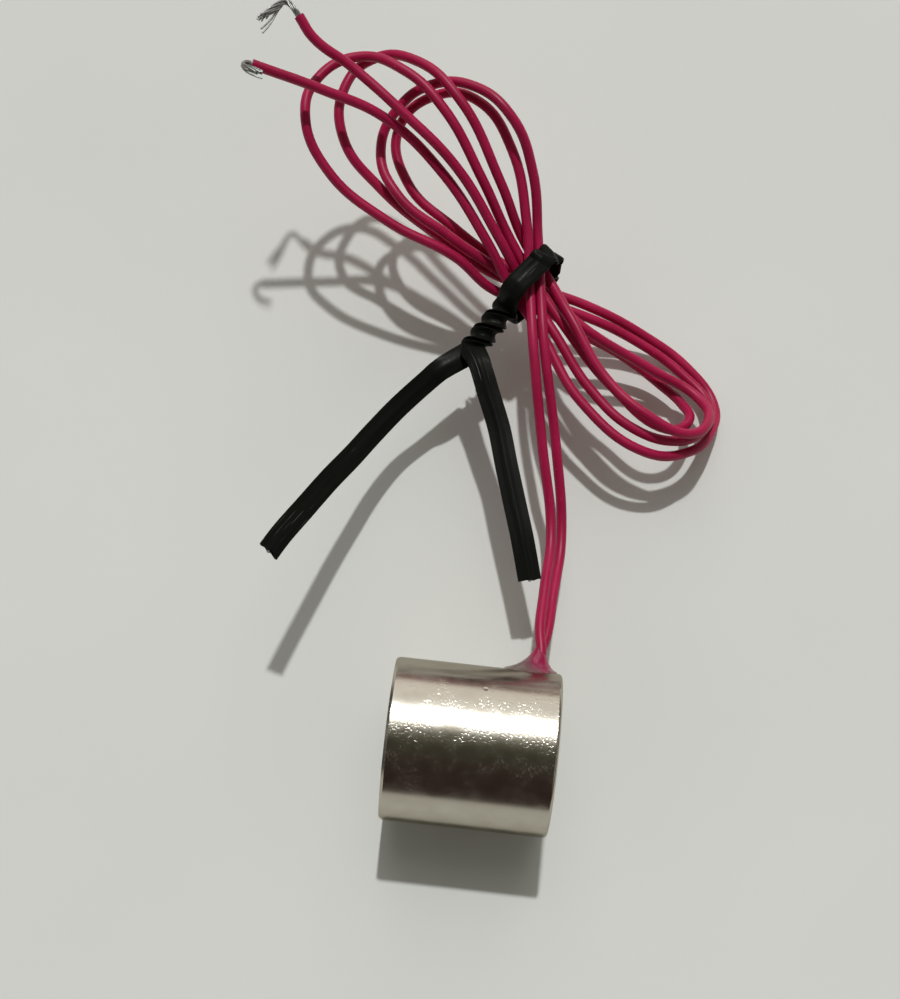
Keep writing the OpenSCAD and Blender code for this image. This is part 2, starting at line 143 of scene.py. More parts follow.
# %% The leads as curves
def bezier_line(name, points):
    """A smooth open curve through points in millimetres."""
    line = bpy.data.curves.new(name, "CURVE")
    line.dimensions = "3D"
    spline = line.splines.new("BEZIER")
    spline.bezier_points.add(len(points) - 1)
    for knot, point in zip(spline.bezier_points, points):
        knot.co = Vector(point) * MM
        knot.handle_left_type = knot.handle_right_type = "AUTO"
    piece = bpy.data.objects.new(name, line)
    bpy.context.scene.collection.objects.link(piece)
    return piece


leads = {}
for letter in "ab":
    lead = bezier_line(f"lead_{letter}_jacket", lead_heads[letter] + lead_runs[letter])
    lead.data.resolution_u = 10
    lead.data.bevel_depth = lead_d / 2 * MM
    lead.data.bevel_resolution = 5
    lead.data.use_fill_caps = True
    leads[letter] = lead
    print(lead.name, round(lead.data.splines[0].calc_length() / MM, 1), "mm long")

# %% [markdown]
# ## Helpers for finishes and shapes
# Every finish below is a small graph of shader nodes, and the stripped ends and the thread are made
# by graphs of geometry nodes. One function adds a node to either kind of graph, sets its options and
# links its inputs. Colours are written as sRGB hex, as a picture editor shows them, and turned to
# linear light here. A mix node has sockets for every kind of value, so its two colours are called by
# number, inputs 6 and 7, and the mixed colour is its output 2.

# %% Helpers for node graphs
def linear(hex_colour):
    """An sRGB hex colour as linear RGBA."""
    parts = [int(hex_colour[i:i + 2], 16) / 255 for i in (1, 3, 5)]
    return [p / 12.92 if p <= 0.04045 else ((p + 0.055) / 1.055) ** 2.4 for p in parts] + [1]


def feed(tree, node, inputs):
    """Sets a node's inputs to values, or links them from sockets or from a node's first output."""
    for socket, value in inputs.items():
        if isinstance(value, bpy.types.Node):
            value = value.outputs[0]
        if isinstance(value, bpy.types.NodeSocket):
            tree.links.new(value, node.inputs[socket])
        else:
            node.inputs[socket].default_value = value


def add(tree, kind, inputs=None, stops=(), **settings):
    """Adds one node with its options, its inputs and, on a colour ramp, stops of a place and a colour."""
    node = tree.nodes.new(kind)
    for option, value in settings.items():
        setattr(node, option, value)
    if stops:
        marks = node.color_ramp.elements
        marks.remove(marks[-1])
        marks[0].position = stops[0][0]
        marks[0].color = linear(stops[0][1])
        for place, colour in stops[1:]:
            marks.new(place).color = linear(colour)
    feed(tree, node, inputs or {})
    return node


def new_finish(name, **constants):
    """A material with its shader; constants are values that hold all over the surface."""
    finish = bpy.data.materials.new(name)
    finish.use_nodes = True
    tree = finish.node_tree
    shader = tree.nodes["Principled BSDF"]
    feed(tree, shader, {socket.replace("_", " "): value for socket, value in constants.items()})
    return finish, tree, shader, add(tree, "ShaderNodeTexCoord").outputs["Object"]


print("a grey of #808080 is", round(linear("#808080")[0], 3), "in linear light")

# %% [markdown]
# ## Bright nickel plate
# The cup is turned steel with a bright nickel coat: a warm mirror, a little hazy, with small pits
# in patches where the coat bridged the turning marks. A flat grey metal would mirror too cleanly.
# The pits come from a noise that is cut off high, so most of the surface stays smooth, and they
# lie in patches because a second, coarser noise lets them through. They fade out from the top down,
# as on a side that was rubbed in handling. The flat ends get fine rings where the lathe tool faced
# them off, and one small dent sits where the photograph shows it.

# %% Nickel finish
def nickel_plate():
    finish, tree, shader, place = new_finish(
        "nickel_plate", Metallic=1.0, Specular_Tint=(0.60, 0.58, 0.53, 1))
    pit_size, patch_size, ring_pitch = 0.34 * MM, 2.4 * MM, 0.16 * MM
    dent_place, dent_r = Vector((0.98, 5.73, 18.2)) * MM, 0.35 * MM
    roll_height = 0.45
    pits = add(tree, "ShaderNodeTexNoise", {"Vector": place, "Scale": 1 / pit_size, "Detail": 1.0})
    patches = add(tree, "ShaderNodeTexNoise", {"Vector": place, "Scale": 1 / patch_size, "Detail": 2.0})
    deep = add(tree, "ShaderNodeMapRange", {
        "Value": pits, "From Min": 0.54, "From Max": 0.64, "To Max": -1.4}, interpolation_type="SMOOTHSTEP")
    let_through = add(tree, "ShaderNodeMapRange", {
        "Value": patches, "From Min": 0.42, "From Max": 0.60, "To Min": 0.1, "To Max": 1.0})
    height = add(tree, "ShaderNodeSeparateXYZ", {"Vector": place}).outputs["Z"]
    rubbed = add(tree, "ShaderNodeMapRange", {
        "Value": height, "From Min": 16.5 * MM, "From Max": 19 * MM, "To Min": 0.06, "To Max": 1.0})
    shown = add(tree, "ShaderNodeMath", {0: let_through, 1: rubbed}, operation="MULTIPLY")
    pitted = add(tree, "ShaderNodeMath", {0: deep, 1: shown}, operation="MULTIPLY")
    rolling = add(tree, "ShaderNodeMath", {0: patches, 1: roll_height, 2: pitted}, operation="MULTIPLY_ADD")
    to_dent = add(tree, "ShaderNodeVectorMath", {0: place, 1: dent_place}, operation="DISTANCE")
    dent = add(tree, "ShaderNodeMapRange", {
        "Value": to_dent.outputs["Value"], "From Min": 0.3 * dent_r, "From Max": dent_r, "To Min": -3.0,
        "To Max": 0.0}, interpolation_type="SMOOTHSTEP")
    from_axis = add(tree, "ShaderNodeMapping", {
        "Vector": place, "Location": (0, 0, -axis_z), "Scale": (0, 1, 1)})
    radius = add(tree, "ShaderNodeVectorMath", {0: from_axis}, operation="LENGTH").outputs["Value"]
    turns = add(tree, "ShaderNodeMath", {0: radius, 1: 2 * math.pi / ring_pitch}, operation="MULTIPLY")
    rings = add(tree, "ShaderNodeMath", {0: turns}, operation="SINE")
    normal = add(tree, "ShaderNodeNewGeometry").outputs["Normal"]
    flat = add(tree, "ShaderNodeMath", {
        0: add(tree, "ShaderNodeSeparateXYZ", {"Vector": normal})}, operation="ABSOLUTE")
    on_ends = add(tree, "ShaderNodeMapRange", {
        "Value": flat, "From Min": 0.97, "From Max": 0.995, "To Max": 0.12})
    faced = add(tree, "ShaderNodeMath", {0: rings, 1: on_ends, 2: rolling}, operation="MULTIPLY_ADD")
    relief = add(tree, "ShaderNodeMath", {0: faced, 1: dent})
    bump = add(tree, "ShaderNodeBump", {"Height": relief, "Strength": 1.0, "Distance": 0.009 * MM})
    tone = add(tree, "ShaderNodeValToRGB", {"Fac": patches}, stops=[(0.3, "#bbb4a7"), (0.7, "#c8c2b5")])
    haze = add(tree, "ShaderNodeMapRange", {
        "Value": patches, "From Min": 0.3, "From Max": 0.7, "To Min": 0.18, "To Max": 0.24})
    feed(tree, shader, {"Base Color": tone, "Roughness": haze, "Normal": bump})
    return finish


finishes = {"nickel_plate": nickel_plate()}
print("finish: nickel_plate")

# %% [markdown]
# ## Red PVC insulation
# Hook-up wire is extruded PVC: a strong crimson, satin, with light going a little way in. Dust and
# small scuffs leave paler specks. The specks come from a fine noise that is cut off high. A slow
# noise varies the red and the satin together, so no lead looks like one flat colour.

# %% PVC finish
def red_pvc():
    finish, tree, shader, place = new_finish(
        "red_pvc", IOR=1.5, Specular_IOR_Level=0.28, Subsurface_Weight=0.15,
        Subsurface_Radius=(1.0, 0.2, 0.35), Subsurface_Scale=0.5 * MM)
    cloud_size, speck_size = 6 * MM, 0.35 * MM
    clouds = add(tree, "ShaderNodeTexNoise", {"Vector": place, "Scale": 1 / cloud_size, "Detail": 3.0})
    specks = add(tree, "ShaderNodeTexNoise", {"Vector": place, "Scale": 1 / speck_size, "Detail": 1.0})
    colour = add(tree, "ShaderNodeValToRGB", {"Fac": clouds}, stops=[(0.3, "#9e0d3f"), (0.7, "#b2154c")])
    scuffed = add(tree, "ShaderNodeMapRange", {
        "Value": specks, "From Min": 0.74, "From Max": 0.82, "To Max": 0.35})
    dusty = add(tree, "ShaderNodeMix", {
        "Factor": scuffed, 6: colour, 7: linear("#dd8fa6")}, data_type="RGBA")
    satin = add(tree, "ShaderNodeMapRange", {
        "Value": clouds, "From Min": 0.3, "From Max": 0.7, "To Min": 0.36, "To Max": 0.48})
    bump = add(tree, "ShaderNodeBump", {"Height": specks, "Strength": 0.15, "Distance": 0.006 * MM})
    feed(tree, shader, {"Base Color": dusty.outputs[2], "Roughness": satin, "Normal": bump})
    return finish


finishes["red_pvc"] = red_pvc()
for lead in leads.values():
    lead.data.materials.append(finishes["red_pvc"])
print("finish: red_pvc on", len(leads), "leads")

# %% [markdown]
# ## Tinned copper strands
# A stripped end is a bundle of thin tinned wires, twisted once every centimetre or so, and its
# strands spread where they were bent. Twelve separate curves would be tedious to keep apart, so one
# path is copied for each strand and the copies are wound round it by a rule: a geometry-nodes graph
# with the count, the radii, the lay length and the spread as its inputs.

# %% Finish of the strands
def tinned_copper():
    finish, tree, shader, place = new_finish("tinned_copper", Metallic=1.0)
    grain_size = 0.4 * MM
    grain = add(tree, "ShaderNodeTexNoise", {"Vector": place, "Scale": 1 / grain_size, "Detail": 3.0})
    tone = add(tree, "ShaderNodeValToRGB", {"Fac": grain}, stops=[(0.3, "#8b8c87"), (0.7, "#b4b5b1")])
    gloss = add(tree, "ShaderNodeMapRange", {
        "Value": grain, "From Min": 0.3, "From Max": 0.7, "To Min": 0.30, "To Max": 0.50})
    feed(tree, shader, {"Base Color": tone, "Roughness": gloss})
    return finish


finishes["tinned_copper"] = tinned_copper()
print("finish: tinned_copper")


# %% A graph that winds strands round a path
def new_graph(name, sizes):
    """An empty geometry graph with one geometry through it and named number inputs."""
    tree = bpy.data.node_groups.new(name, "GeometryNodeTree")
    tree.interface.new_socket("Geometry", in_out="INPUT", socket_type="NodeSocketGeometry")
    tree.interface.new_socket("Geometry", in_out="OUTPUT", socket_type="NodeSocketGeometry")
    for label, kind in sizes.items():
        tree.interface.new_socket(label, in_out="INPUT", socket_type=f"NodeSocket{kind}")
    return tree, tree.nodes.new("NodeGroupInput").outputs, tree.nodes.new("NodeGroupOutput")


def strand_graph():
    tree, sizes, result = new_graph("twisted_strands", {
        "Strands": "Int", "Strand Radius": "Float", "Bundle Radius": "Float", "Lay Length": "Float",
        "Spread": "Float", "Ragged": "Float"})
    golden_angle, late_power = math.pi * (3 - math.sqrt(5)), 3.0
    path = add(tree, "GeometryNodeResampleCurve", {"Curve": sizes["Geometry"], "Count": 56})
    copies = add(tree, "GeometryNodeDuplicateElements", {
        "Geometry": path, "Amount": sizes["Strands"]}, domain="SPLINE")
    number = copies.outputs["Duplicate Index"]
    along = add(tree, "GeometryNodeSplineParameter").outputs
    normal = add(tree, "GeometryNodeInputNormal")
    tangent = add(tree, "GeometryNodeInputTangent")
    side = add(tree, "ShaderNodeVectorMath", {0: tangent, 1: normal}, operation="CROSS_PRODUCT")
    lays = add(tree, "ShaderNodeMath", {0: along["Length"], 1: sizes["Lay Length"]}, operation="DIVIDE")
    wound = add(tree, "ShaderNodeMath", {0: lays, 1: 2 * math.pi}, operation="MULTIPLY")
    angle = add(tree, "ShaderNodeMath", {0: number, 1: golden_angle, 2: wound}, operation="MULTIPLY_ADD")
    share = add(tree, "ShaderNodeMath", {0: number, 1: sizes["Strands"]}, operation="DIVIDE")
    from_middle = add(tree, "ShaderNodeMath", {0: share}, operation="SQRT")
    packed = add(tree, "ShaderNodeMath", {0: from_middle, 1: sizes["Bundle Radius"]}, operation="MULTIPLY")
    late = add(tree, "ShaderNodeMath", {0: along["Factor"], 1: late_power}, operation="POWER")
    opened = add(tree, "ShaderNodeMath", {0: late, 1: sizes["Spread"], 2: 1.0}, operation="MULTIPLY_ADD")
    reach = add(tree, "ShaderNodeMath", {0: packed, 1: opened}, operation="MULTIPLY")
    cosine = add(tree, "ShaderNodeMath", {0: angle}, operation="COSINE")
    sine = add(tree, "ShaderNodeMath", {0: angle}, operation="SINE")
    out = add(tree, "ShaderNodeVectorMath", {0: normal, "Scale": cosine.outputs[0]}, operation="SCALE")
    over = add(tree, "ShaderNodeVectorMath", {0: side, "Scale": sine.outputs[0]}, operation="SCALE")
    spoke = add(tree, "ShaderNodeVectorMath", {0: out, 1: over})
    shift = add(tree, "ShaderNodeVectorMath", {0: spoke, "Scale": reach.outputs[0]}, operation="SCALE")
    wires = add(tree, "GeometryNodeSetPosition", {"Geometry": copies, "Offset": shift})
    short_by = add(tree, "FunctionNodeRandomValue", {"ID": number, "Seed": 7}, data_type="FLOAT")
    cut = add(tree, "ShaderNodeMath", {0: short_by.outputs[1], 1: sizes["Ragged"]}, operation="MULTIPLY")
    kept = add(tree, "ShaderNodeMath", {0: 1.0, 1: cut}, operation="SUBTRACT")
    trimmed = add(tree, "GeometryNodeTrimCurve", {"Curve": wires, "End": kept})
    section = add(tree, "GeometryNodeCurvePrimitiveCircle", {
        "Radius": sizes["Strand Radius"], "Resolution": 8})
    tubes = add(tree, "GeometryNodeCurveToMesh", {
        "Curve": trimmed, "Profile Curve": section, "Fill Caps": True})
    smooth = add(tree, "GeometryNodeSetShadeSmooth", {"Geometry": tubes})
    whole = add(tree, "GeometryNodeRealizeInstances", {"Geometry": smooth})
    tinned = add(tree, "GeometryNodeSetMaterial", {
        "Geometry": whole, "Material": finishes["tinned_copper"]})
    feed(tree, result, {"Geometry": tinned})
    return tree


strand_rule = strand_graph()
print("graph:", strand_rule.name, "with", len(strand_rule.nodes), "nodes")


# %% From a graph to a piece
def grown(source, graph, sizes):
    """Runs a graph on a source object and returns the result as a plain mesh."""
    modifier = source.modifiers.new(graph.name, "NODES")
    modifier.node_group = graph
    for socket in graph.interface.items_tree:
        if socket.in_out == "INPUT" and socket.name in sizes:
            modifier[socket.identifier] = sizes[socket.name]
    seen = source.evaluated_get(bpy.context.evaluated_depsgraph_get())
    mesh = bpy.data.meshes.new_from_object(seen)
    source.modifiers.remove(modifier)
    bpy.data.objects.remove(source)
    return mesh


def put(name, mesh):
    """Puts a finished mesh in the scene as a piece of the object."""
    piece = bpy.data.objects.new(name, mesh)
    bpy.context.scene.collection.objects.link(piece)
    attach(piece, "root")
    return piece


def joined(name, meshes):
    """Several meshes of one finish as one mesh."""
    shape = bmesh.new()
    for mesh in meshes:
        shape.from_mesh(mesh)
    whole = bpy.data.meshes.new(name)
    shape.to_mesh(whole)
    shape.free()
    whole.materials.append(meshes[0].materials[0])
    return whole


print("helpers: grown runs a graph, joined makes one mesh of several, put places it")

# %% The stripped ends
strand_r = 0.115
bundle = {
    "Strands": 12, "Strand Radius": strand_r * MM, "Bundle Radius": 0.33 * MM, "Lay Length": 9 * MM}
single = {
    "Strands": 1, "Strand Radius": strand_r * MM, "Bundle Radius": 0.02 * MM, "Lay Length": 20 * MM,
    "Spread": 0.0, "Ragged": 0.0}
bare_straight = {"a": 0.4, "b": 0.9}
bare_bends = {
    "a": [
        (-37.8, 79.6, 31.1), (-37.7, 78.9, 31.6), (-36.9, 78.4, 31.9), (-35.9, 78.1, 31.9),
        (-35.2, 77.9, 31.8)],
    "b": [
        (-33.9, 89, 31.5), (-34.3, 88.6, 31.8), (-34.9, 87.4, 32.4), (-35.6, 86.1, 32.9),
        (-36.4, 84.6, 33.5)],
}
loose_strands = {
    "a": [[(-37.9, 79, 31.2), (-37.3, 78, 31.8), (-36.2, 77.4, 32), (-35.1, 77.1, 32)]],
    "b": [
        [
            (-34, 88.9, 31.4), (-34.4, 88, 31.9), (-34.8, 86.6, 32.3), (-35.4, 85, 32.6),
            (-36.1, 83.6, 33)],
        [
            (-33.9, 88.8, 31.3), (-34.3, 87.9, 31.8), (-34.7, 86.5, 32.2), (-35.2, 84.8, 32.4),
            (-35.9, 83.3, 32.6)],
    ],
}
bare_spread = {"a": 0.2, "b": 0.9}
hidden_start = 2.0
for letter in "ab":
    before, tip = (Vector(p) for p in lead_runs[letter][-2:])
    ahead = (tip - before).normalized()
    root_point = tip - ahead * hidden_start
    path = [root_point, tip, tip + ahead * bare_straight[letter]] + bare_bends[letter]
    meshes = [grown(bezier_line("path", path), strand_rule, {
        **bundle, "Spread": bare_spread[letter], "Ragged": 0.12})]
    for strand in loose_strands[letter]:
        meshes.append(grown(bezier_line("path", [root_point, tip] + strand), strand_rule, single))
    put(f"lead_{letter}_strands", joined(f"lead_{letter}_strands", meshes))

# %% [markdown]
# ## The twist tie
# The tie is an extruded plastic strip with a wire in its middle rib. It goes once round the bundle,
# its two halves are twisted together as a stem, and the tails stand apart. A curve with a flat bevel
# would twist where it likes. Here each place along the strip has a frame of its own: a point, the
# directions of the strip's width and face, and how full the section is there. One section is skinned
# along all the frames, from the tip of one tail to the tip of the other.

# %% Finish of the strip and its wire
def tie_black():
    finish, tree, shader, place = new_finish("tie_black", IOR=1.48, Specular_IOR_Level=0.05)
    line_width, line_length, scuff_size, scratch_glint_patch_size = 0.12 * MM, 9 * MM, 0.5 * MM, 7 * MM
    along = add(tree, "ShaderNodeTexCoord").outputs["UV"]
    stretched = add(tree, "ShaderNodeMapping", {
        "Vector": along, "Scale": (1 / line_width, 1 / line_length, 1)})
    lines = add(tree, "ShaderNodeTexNoise", {"Vector": stretched, "Scale": 1.0, "Detail": 2.0})
    scuffs = add(tree, "ShaderNodeTexNoise", {"Vector": place, "Scale": 1 / scuff_size, "Detail": 3.0})
    # Patches where pale thin lines show on the strip; the lines are partly scratches and partly painted
    # glints.
    scratch_glint_patches = add(tree, "ShaderNodeTexNoise", {"Vector": place, "Scale": 1 / scratch_glint_patch_size, "Detail": 1.0})
    where = add(tree, "ShaderNodeMapRange", {"Value": scratch_glint_patches, "From Min": 0.52, "From Max": 0.62})
    high = add(tree, "ShaderNodeMapRange", {"Value": lines, "From Min": 0.66, "From Max": 0.72})
    scratches_and_glints = add(tree, "ShaderNodeMath", {0: where, 1: high}, operation="MULTIPLY")
    black = add(tree, "ShaderNodeValToRGB", {"Fac": lines}, stops=[(0.3, "#11120f"), (0.75, "#1a1b17")])
    # Pale lines mixed into the base colour: partly scratches, partly painted glints, that is highlights
    # painted on the black strip.
    tone = add(tree, "ShaderNodeMix", {
        "Factor": scratches_and_glints, 6: black, 7: linear("#6d6e69")}, data_type="RGBA")
    gloss = add(tree, "ShaderNodeMapRange", {
        "Value": scuffs, "From Min": 0.3, "From Max": 0.7, "To Min": 0.28, "To Max": 0.42})
    bump = add(tree, "ShaderNodeBump", {"Height": lines, "Strength": 0.3, "Distance": 0.02 * MM})
    feed(tree, shader, {"Base Color": tone.outputs[2], "Roughness": gloss, "Normal": bump})
    return finish


def tie_steel():
    finish, tree, shader, place = new_finish("tie_steel", Metallic=1.0)
    spangle_size = 0.3 * MM
    spangle = add(tree, "ShaderNodeTexNoise", {"Vector": place, "Scale": 1 / spangle_size, "Detail": 2.0})
    tone = add(tree, "ShaderNodeValToRGB", {"Fac": spangle}, stops=[(0.3, "#7d7f80"), (0.7, "#a9abac")])
    gloss = add(tree, "ShaderNodeMapRange", {"Value": spangle, "To Min": 0.3, "To Max": 0.5})
    feed(tree, shader, {"Base Color": tone, "Roughness": gloss})
    return finish


finishes["tie_black"] = tie_black()
finishes["tie_steel"] = tie_steel()
print("finishes: tie_black, tie_steel")

# %% Where the tie lies
up = Vector((0, 0, 1))
tie_centre = Vector((1.3, 62.5, 11.8))
tie_across = Vector((0.59, 0.81, 0)).normalized()
tie_along = Vector((0.81, -0.59, 0)).normalized()
wrap_half_w, wrap_half_h, wrap_open = 4.5, 4.55, 40
near_corner, far_corner, corner_step = 2, 3.3, 5
wrap_ripple, ripple_waves = 0.16, 11
wrap_roll, roll_waves = math.radians(16), 8
wrap_full = 0.5
stem_gap = 0.6
stem_start = tie_centre - tie_across * (wrap_half_w + stem_gap)
stem_end = Vector((-5.5, 52.5, 10.75))
stem_ahead = (stem_end - stem_start).normalized()
stem_twist, stem_rings = math.radians(540), 72
left_tail = [
    (-9, 49.5, 10.75), (-11, 47.5, 10.25), (-14.25, 43.75, 9.75), (-17, 39.5, 10.5), (-19.25, 35.25, 12.25),
    (-21.5, 31, 14.5), (-23.75, 26.25, 17), (-25.75, 22, 19.25), (-27, 19, 20.5)]
right_tail = [
    (-4.25, 50, 12.5), (-2.5, 45.75, 12), (-0.75, 41.5, 11.5), (0.75, 36.5, 11.25), (2.25, 31.75, 11),
    (3.75, 27, 10.75), (5.25, 21.75, 10)]
left_lean, right_lean = Vector((0.6, 0, 0.8)), Vector((0, -0.15, 1))
tail_steps, lean_steps, thin_steps = 10, 20, 12
print("tie: a stem of", round((stem_end - stem_start).length, 1), "mm and two tails")


# %% Lines through points
def extended(points):
    """The points with one more at each end, so that all the others have two neighbours."""
    return [points[0] * 2 - points[1]] + points + [points[-1] * 2 - points[-2]]


def headings(points):
    """The direction of a line at each of its points."""
    ends = extended(points)
    return [((c - b).normalized() + (b - a).normalized()).normalized()
            for a, b, c in zip(ends, ends[1:], ends[2:])]


def smoothed(points, steps):
    """A Catmull-Rom line through points, with so many steps to a stretch."""
    ends = extended(points)
    line = []
    for a, b, c, d in zip(ends, ends[1:], ends[2:], ends[3:]):
        for t in (i / steps for i in range(steps)):
            line.append((b * 2 + (c - a) * t + (a * 2 - b * 5 + c * 4 - d) * t * t
                         + (b * 3 - a - c * 3 + d) * t ** 3) / 2)
    return line + [points[-1]]


tail_starts = [headings([Vector(p) for p in tail])[0] for tail in (left_tail, right_tail)]
print("the tails set off towards", [[round(v, 2) for v in start] for start in tail_starts])


# %% The turn round the bundle
def wrap_frames():
    """One turn round the bundle, a rectangle with round corners that runs out to a point at the stem.

    On the far side the strip ripples and rolls a little where it was pulled over the single leads."""
    points, rolls = [], []
    for s, r, low, high in (
            (-1, -1, 180 + wrap_open, 270), (1, -1, 270, 360), (1, 1, 0, 90), (-1, 1, 90, 180 - wrap_open)):
        corner = far_corner if s > 0 else near_corner
        for degrees in range(low, high + 1, corner_step):
            a = math.radians(degrees)
            bent = corner + wrap_ripple * max(s, 0) * math.sin(ripple_waves * a)
            points.append(
                tie_centre + tie_across * (s * (wrap_half_w - corner) + bent * math.cos(a))
                + up * (r * (wrap_half_h - corner) + bent * math.sin(a)))
            rolls.append(wrap_roll * max(s, 0) * math.sin(roll_waves * a))
    frames = []
    for p, t, roll in zip(points, headings(points), rolls):
        out = t.cross(tie_along)
        side = tie_along * math.cos(roll) + out * math.sin(roll)
        frames.append((p, side, t.cross(side), wrap_full))
    return frames


turn = wrap_frames()
turn_ahead = headings([place for place, *_ in turn])
print("turn:", len(turn), "frames")

# %% The twisted stem
tie_t, strip_gap = 0.64, 0.6


def stem_frames(layer):
    """One of the two strips of the stem, which lie back to back and twist round a common axis."""
    level = -stem_ahead.cross(up).normalized()
    rise = stem_ahead.cross(level)
    frames = []
    for i in range(stem_rings + 1):
        a = stem_twist * i / stem_rings
        out = rise * math.cos(a) - level * math.sin(a)
        place = stem_start.lerp(stem_end, i / stem_rings) + out * layer * (tie_t + strip_gap) / 2
        frames.append((place, level * math.cos(a) + rise * math.sin(a), out * layer, 1.0))
    return frames


left_stem, right_stem = stem_frames(1), stem_frames(-1)
print("stem: two strips of", len(left_stem), "frames")


# %% The tails
def tail_frames(stem, points, face, lean):
    """A tail from the end of the stem to its tip, which turns from face up to a lean of its own."""
    line = smoothed([stem[-1][0]] + [Vector(p) for p in points], tail_steps)
    frames = []
    for i, (p, t) in list(enumerate(zip(line, headings(line))))[1:]:
        side = t.cross(up.lerp(lean, min(i / lean_steps, 1))).normalized()
        frames.append((p, side, side.cross(t) * face, max(1 - i / thin_steps, 0.0)))
    return frames


left_frames = tail_frames(left_stem, left_tail, -1, left_lean)
right_frames = tail_frames(right_stem, right_tail, 1, right_lean)
print("tails:", len(left_frames), "and", len(right_frames), "frames")


# %% One line of frames from tip to tip
def bridge(before, after, ahead_before, ahead_after, steps=9):
    """Frames on a smooth way from one frame to another, without the two themselves."""
    (p, side_p, _, full_p), (q, side_q, _, full_q) = before, after
    pull = (q - p).length
    frames = []
    for t in (i / steps for i in range(1, steps)):
        place = (p * (1 + 2 * t) * (1 - t) ** 2 + q * t * t * (3 - 2 * t)
                 + ahead_before * pull * t * (1 - t) ** 2 - ahead_after * pull * t * t * (1 - t))
        ahead = ((q - p) * 6 * t * (1 - t) + ahead_before * pull * (1 - t) * (1 - 3 * t)
                 + ahead_after * pull * t * (3 * t - 2)).normalized()
        side = side_p.lerp(side_q, t)
        side = (side - ahead * side.dot(ahead)).normalized()
        frames.append((place, side, ahead.cross(side), full_p + (full_q - full_p) * t))
    return frames


tie_frames = (
    right_frames[::-1] + right_stem[::-1] + bridge(right_stem[0], turn[0], -stem_ahead, turn_ahead[0])
    + turn + bridge(turn[-1], left_stem[0], turn_ahead[-1], stem_ahead) + left_stem + left_frames)
print("tie:", len(tie_frames), "frames")


# %% A skin over rings of points
def loft(name, rings, finish, crease=40):
    """Skins rings of points, in metres, into one closed mesh with a UV map of real lengths."""
    shape = bmesh.new()
    uv = shape.loops.layers.uv.new("UVMap")
    rows = [[shape.verts.new(point) for point in ring] for ring in rings]
    count = len(rings[0])
    middles = [sum(ring, Vector()) / count for ring in rings]
    around, along = [0.0], [0.0]
    for k in range(count):
        around.append(around[-1] + (rings[0][(k + 1) % count] - rings[0][k]).length)
    for here, there in zip(middles, middles[1:]):
        along.append(along[-1] + (there - here).length)
    for i, (lower, upper) in enumerate(zip(rows, rows[1:])):
        for k in range(count):
            n = (k + 1) % count
            face = shape.faces.new((lower[k], lower[n], upper[n], upper[k]))
            for corner, (u, v) in zip(face.loops, ((k, i), (k + 1, i), (k + 1, i + 1), (k, i + 1))):
                corner[uv].uv = (around[u], along[v])
    shape.faces.new(rows[0])
    shape.faces.new(rows[-1])
    bmesh.ops.recalc_face_normals(shape, faces=shape.faces)
    mesh = bpy.data.meshes.new(name)
    shape.to_mesh(mesh)
    shape.free()
    mesh.shade_smooth()
    mesh.set_sharp_from_angle(angle=math.radians(crease))
    mesh.materials.append(finish)
    return mesh


print("helper: loft skins rings, for the strip, its wire and the bead of resin")

# %% Sections of the strip and its wire
tie_half_w, tie_edge, edge_trim, oval_half_t = 1.5, 0.24, 0.06, 0.6
rib_half_w, rib_share = 0.7, 0.5
full_widens = 0.15
wire_d, wire_sides = 0.4, 16


def strip_section(full, points=15):
    """The strip's outline: thin wings and a rib over the wire, or a full oval where it is twisted hard."""
    half = []
    wide = 1 + full_widens * full
    for i in range(points):
        u = (tie_half_w - edge_trim) * (1 - 2 * i / (points - 1))
        rib = math.cos(math.pi / 2 * min(abs(u) / rib_half_w, 1)) ** 2
        rise = rib_share * rib + (1 - rib_share) * (1 - abs(u) / tie_half_w)
        flat = tie_edge / 2 + (tie_t - tie_edge) / 2 * rise
        oval = oval_half_t * math.sqrt(1 - (u / tie_half_w) ** 2)
        half.append((u * wide, flat + (oval - flat) * full))
    tip = tie_half_w * wide
    return half + [(-tip, 0)] + [(-u, -v) for u, v in half] + [(tip, 0)]


def wire_section(full):
    """The wire's outline, the same at any fullness of the strip."""
    turns = [2 * math.pi * k / wire_sides for k in range(wire_sides)]
    return [(wire_d / 2 * math.cos(a), wire_d / 2 * math.sin(a)) for a in turns]


print("sections:", len(strip_section(0.0)), "points for the strip,", len(wire_section(0.0)), "for the wire")

# %% Skin the strip and its wire
cut_depth, cut_waves = 0.18, ((0.10, 2.1, 1), (0.07, 5.3, 2))
cut_seeds = (0.4, 2.2)


def cut_back(u, seed):
    """How far the snipped end lies behind the wire's end, across the strip's width."""
    return cut_depth + sum(size * math.sin(rate * u + start * seed) for size, rate, start in cut_waves)


def skinned(frames, section, ragged=False):
    """Rings of a section, given for a fullness, at all the frames of the tie."""
    rings = [[(p + side * u + face * v) * MM for u, v in section(full)] for p, side, face, full in frames]
    if ragged:
        for ring, (p, *_), (q, *_), seed in (
                (rings[0], frames[0], frames[1], cut_seeds[0]),
                (rings[-1], frames[-1], frames[-2], cut_seeds[1])):
            inward = (q - p).normalized()
            for k, (u, v) in enumerate(section(0.0)):
                ring[k] = ring[k] + inward * cut_back(u, seed) * MM
    return rings


strip = put("tie_strip_plastic", loft(
    "tie_strip_plastic", skinned(tie_frames, strip_section, ragged=True), finishes["tie_black"]))
wire = put("tie_wire_core", loft(
    "tie_wire_core", skinned(tie_frames, wire_section), finishes["tie_steel"]))
print(strip.name, len(strip.data.polygons), "faces;", wire.name, len(wire.data.polygons), "faces")

# %% [markdown]
# ## Cast resin
# A drop of clear resin seals the slot and holds the leads. It climbed them while it was liquid and
# ran a little way over the cup, further on one side. A metaball could suggest that, but it would
# not stay on the cup. Rings are lofted instead: two inside the cup, then from the foot, which lies on
# the cylinder, up a hollow flank to the leads. Near them the red shows through it, so the colour
# changes with the distance.

